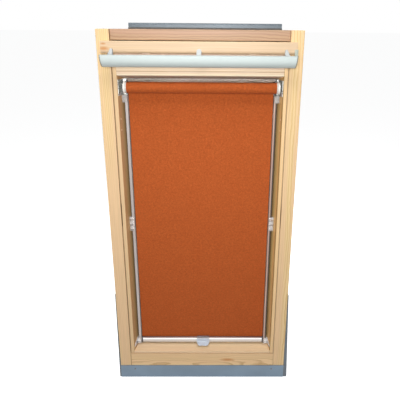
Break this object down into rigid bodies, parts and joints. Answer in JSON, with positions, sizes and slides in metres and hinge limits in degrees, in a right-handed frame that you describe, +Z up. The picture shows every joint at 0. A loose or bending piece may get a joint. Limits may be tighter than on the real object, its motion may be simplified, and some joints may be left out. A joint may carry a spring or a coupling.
{
  "type": "roof window with roller blind",
  "caption": "Upright centre-pivot pine roof window with a tilting ventilation flap, a control bar and an orange roller blind that runs in side rails.",
  "frame": {"origin": "on the underside of the foot tray, at the middle of the width, in the plane of the posts' front faces", "axes": "+X to the right seen from the room, +Y out through the glass, +Z up along the posts"},
  "size_m": [0.8051, 0.2113, 1.623],
  "materials": {
    "wood": "clear satin lacquer on pine",
    "grey_metal": "satin grey paint on thin aluminium sheet",
    "bar_aluminium": "satin anodised",
    "spacer_aluminium": "matt mill finish",
    "steel": "zinc plated",
    "screws": "zinc plated",
    "window_glass": "clear float glass",
    "white_plastic": "smooth moulded",
    "grey_plastic": "fine moulded",
    "pale_plastic": "translucent moulded",
    "orange_cloth": "plain woven polyester, mottled burnt orange"
  },
  "bodies": {
    "frame": {"frame_post_left": "wood", "frame_post_right": "wood", "frame_head": "wood", "frame_sill": "wood", "bottom_apron": "grey_metal", "apron_screw_left": "screws", "apron_screw_right": "screws", "side_flashing_left": "grey_metal", "side_flashing_right": "grey_metal", "top_hood": "grey_metal", "pivot_plate_left": "steel", "pivot_plate_right": "steel"},
    "sash": {"sash_stile_left": "wood", "sash_stile_right": "wood", "sash_top_rail": "wood", "sash_bottom_rail": "wood", "inner_pane": "window_glass", "outer_pane": "window_glass", "spacer_frame": "spacer_aluminium", "sash_cladding_left": "grey_metal", "sash_cladding_right": "grey_metal", "sash_cladding_top": "grey_metal", "sash_cladding_bottom": "grey_metal", "flap_hinge_left": "grey_plastic", "flap_hinge_right": "grey_plastic", "roller_plate_left": "steel", "roller_plate_right": "steel", "bracket_screw_lower_left": "screws", "bracket_screw_lower_right": "screws", "bracket_screw_upper_left": "screws", "bracket_screw_upper_right": "screws", "roller_holder_left": "white_plastic", "roller_holder_right": "white_plastic", "spring_shaft": "steel", "guide_rail_left": "bar_aluminium", "guide_rail_right": "bar_aluminium", "rail_top_cap_left": "grey_plastic", "rail_top_cap_right": "grey_plastic", "rail_middle_clip_left": "pale_plastic", "rail_middle_clip_right": "pale_plastic", "rail_foot_left": "grey_plastic", "rail_foot_right": "grey_plastic", "cloth_panel": "orange_cloth"},
    "vent_flap": {"vent_flap_board": "wood", "flap_end_clip": "grey_plastic", "control_bar": "bar_aluminium", "bar_cap_left": "grey_plastic", "bar_cap_right": "grey_plastic", "bar_bracket_left": "bar_aluminium", "bar_bracket_middle": "bar_aluminium", "bar_bracket_right": "bar_aluminium"},
    "roller": {"roller_tube": "bar_aluminium", "cloth_roll": "orange_cloth", "roller_plug_left": "grey_plastic", "roller_plug_right": "grey_plastic", "torsion_spring": "steel"},
    "pull_bar": {"bottom_bar": "bar_aluminium", "bar_guide_left": "grey_plastic", "bar_guide_right": "grey_plastic", "pull_grip": "pale_plastic"}
  },
  "joints": [
    {"name": "sash_pivot", "type": "hinge", "parent": "frame", "child": "sash", "pos_m": [0, 0.042, 0.848], "axis": [1, 0, 0], "range_deg": [0, 160]},
    {"name": "flap_hinge", "type": "hinge", "parent": "sash", "child": "vent_flap", "pos_m": [0, -0.012, 1.523], "axis": [1, 0, 0], "range_deg": [0, 25]},
    {"name": "pull_bar_slide", "type": "slide", "parent": "sash", "child": "pull_bar", "axis": [0, 0, 1], "range_m": [0, 1.14], "deforming": ["cloth_panel"]},
    {"name": "roller_spin", "type": "hinge", "parent": "sash", "child": "roller", "pos_m": [0, 0.022, 1.383], "axis": [1, 0, 0], "range_deg": [0, 3060]}
  ],
  "couplings": [
    {"joint": "roller_spin", "follows": "pull_bar_slide", "rad_per_m": 46.512}
  ]
}
